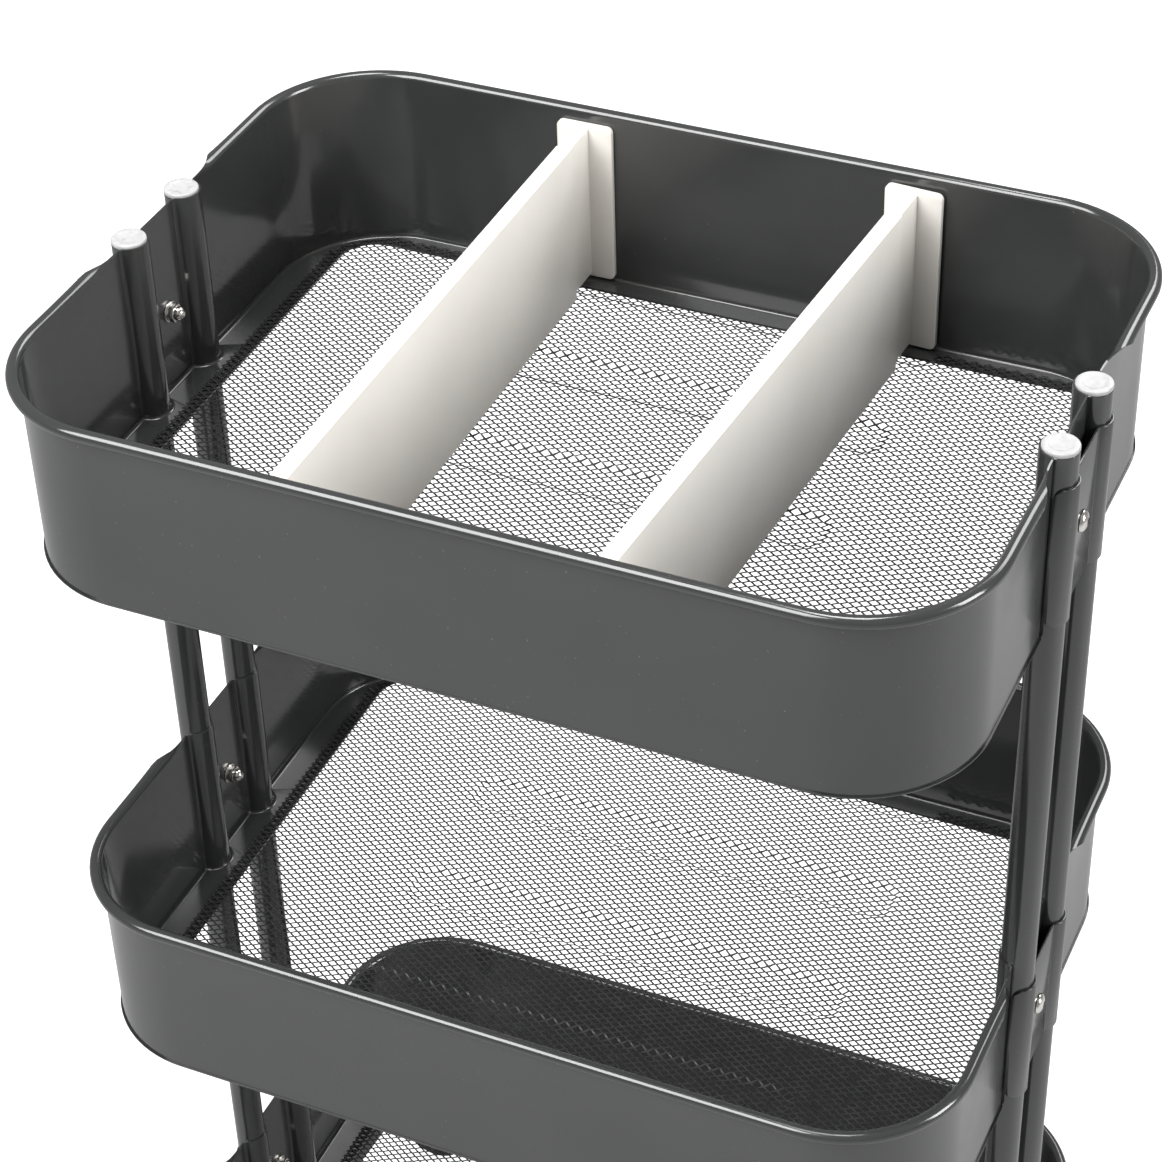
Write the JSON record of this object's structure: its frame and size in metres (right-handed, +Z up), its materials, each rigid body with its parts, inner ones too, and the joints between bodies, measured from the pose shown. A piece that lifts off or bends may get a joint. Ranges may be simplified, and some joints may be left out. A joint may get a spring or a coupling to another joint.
{
  "type": "rolling salon trolley",
  "caption": "Rolling salon trolley with deep mesh-floored trays on tube posts, swivel casters and telescopic dividers in the top tray.",
  "frame": {"origin": "on the floor, under the middle of the trolley", "axes": "+X along the trays' long sides to the right, +Y from the front to the back, +Z up"},
  "size_m": [0.4492, 0.344, 0.78],
  "materials": {
    "powder_coat": "glossy dark grey powder coat",
    "mesh_coat": "dark grey coated expanded mesh",
    "cap_plastic": "light grey moulded plastic",
    "nickel": "bright nickel plate",
    "zinc_steel": "bright zinc plated pressed steel",
    "hub_plastic": "dark grey moulded plastic",
    "tyre_rubber": "dark grey soft tread",
    "divider_plastic": "off-white satin moulded plastic"
  },
  "bodies": {
    "frame": {"post_front_left": "powder_coat", "post_rear_left": "powder_coat", "post_front_right": "powder_coat", "post_rear_right": "powder_coat", "post_cap_front_left": "cap_plastic", "post_cap_rear_left": "cap_plastic", "post_cap_front_right": "cap_plastic", "post_cap_rear_right": "cap_plastic", "leg_front_left": "powder_coat", "leg_rear_left": "powder_coat", "leg_front_right": "powder_coat", "leg_rear_right": "powder_coat", "tray_top": "powder_coat", "tray_bottom": "powder_coat", "mesh_top": "mesh_coat", "mesh_bottom": "mesh_coat", "clamp_top_left": "powder_coat", "clamp_top_right": "powder_coat", "clamp_bottom_left": "powder_coat", "clamp_bottom_right": "powder_coat", "bolts_top": "nickel", "bolts_bottom": "nickel", "cap_nuts_top": "nickel", "cap_nuts_bottom": "nickel", "caster_stem_front_left": "zinc_steel", "caster_stem_rear_left": "zinc_steel", "caster_stem_front_right": "zinc_steel", "caster_stem_rear_right": "zinc_steel"},
    "middle_tray": {"tray_middle": "powder_coat", "mesh_middle": "mesh_coat", "clamp_middle_left": "powder_coat", "clamp_middle_right": "powder_coat", "bolts_middle": "nickel", "cap_nuts_middle": "nickel"},
    "caster_front_left": {"caster_fork_front_left": "zinc_steel", "caster_axle_front_left": "zinc_steel"},
    "wheel_front_left": {"wheel_hub_front_left": "hub_plastic", "wheel_tyre_front_left": "tyre_rubber"},
    "caster_rear_left": {"caster_fork_rear_left": "zinc_steel", "caster_axle_rear_left": "zinc_steel"},
    "wheel_rear_left": {"wheel_hub_rear_left": "hub_plastic", "wheel_tyre_rear_left": "tyre_rubber"},
    "caster_front_right": {"caster_fork_front_right": "zinc_steel", "caster_axle_front_right": "zinc_steel"},
    "wheel_front_right": {"wheel_hub_front_right": "hub_plastic", "wheel_tyre_front_right": "tyre_rubber"},
    "caster_rear_right": {"caster_fork_rear_right": "zinc_steel", "caster_axle_rear_right": "zinc_steel"},
    "wheel_rear_right": {"wheel_hub_rear_right": "hub_plastic", "wheel_tyre_rear_right": "tyre_rubber"},
    "left_divider": {"divider_sleeve_left": "divider_plastic"},
    "left_divider_slider": {"divider_slider_left": "divider_plastic"},
    "right_divider": {"divider_sleeve_right": "divider_plastic"},
    "right_divider_slider": {"divider_slider_right": "divider_plastic"}
  },
  "joints": [
    {"name": "middle_tray_height", "type": "slide", "parent": "frame", "child": "middle_tray", "axis": [0, 0, 1], "range_m": [-0.06, 0.06]},
    {"name": "caster_swivel_front_left", "type": "hinge", "parent": "frame", "child": "caster_front_left", "pos_m": [-0.2138, -0.16, 0.045], "axis": [0, 0, 1], "continuous": true},
    {"name": "wheel_spin_front_left", "type": "hinge", "parent": "caster_front_left", "child": "wheel_front_left", "pos_m": [-0.1978, -0.16, 0.02], "axis": [0, 1, 0], "continuous": true},
    {"name": "caster_swivel_rear_left", "type": "hinge", "parent": "frame", "child": "caster_rear_left", "pos_m": [-0.2138, 0.16, 0.045], "axis": [0, 0, 1], "continuous": true},
    {"name": "wheel_spin_rear_left", "type": "hinge", "parent": "caster_rear_left", "child": "wheel_rear_left", "pos_m": [-0.1978, 0.16, 0.02], "axis": [0, 1, 0], "continuous": true},
    {"name": "caster_swivel_front_right", "type": "hinge", "parent": "frame", "child": "caster_front_right", "pos_m": [0.2138, -0.16, 0.045], "axis": [0, 0, 1], "continuous": true},
    {"name": "wheel_spin_front_right", "type": "hinge", "parent": "caster_front_right", "child": "wheel_front_right", "pos_m": [0.1978, -0.16, 0.02], "axis": [0, 1, 0], "continuous": true},
    {"name": "caster_swivel_rear_right", "type": "hinge", "parent": "frame", "child": "caster_rear_right", "pos_m": [0.2138, 0.16, 0.045], "axis": [0, 0, 1], "continuous": true},
    {"name": "wheel_spin_rear_right", "type": "hinge", "parent": "caster_rear_right", "child": "wheel_rear_right", "pos_m": [0.1978, 0.16, 0.02], "axis": [0, 1, 0], "continuous": true},
    {"name": "left_divider_place", "type": "slide", "parent": "frame", "child": "left_divider", "axis": [1, 0, 0], "range_m": [-0.065, 0.05]},
    {"name": "right_divider_place", "type": "slide", "parent": "frame", "child": "right_divider", "axis": [1, 0, 0], "range_m": [-0.05, 0.045]},
    {"name": "left_divider_length", "type": "slide", "parent": "left_divider", "child": "left_divider_slider", "axis": [0, 1, 0], "range_m": [-0.014, 0]},
    {"name": "right_divider_length", "type": "slide", "parent": "right_divider", "child": "right_divider_slider", "axis": [0.0645, 0.9979, 0], "range_m": [-0.014, 0]}
  ]
}
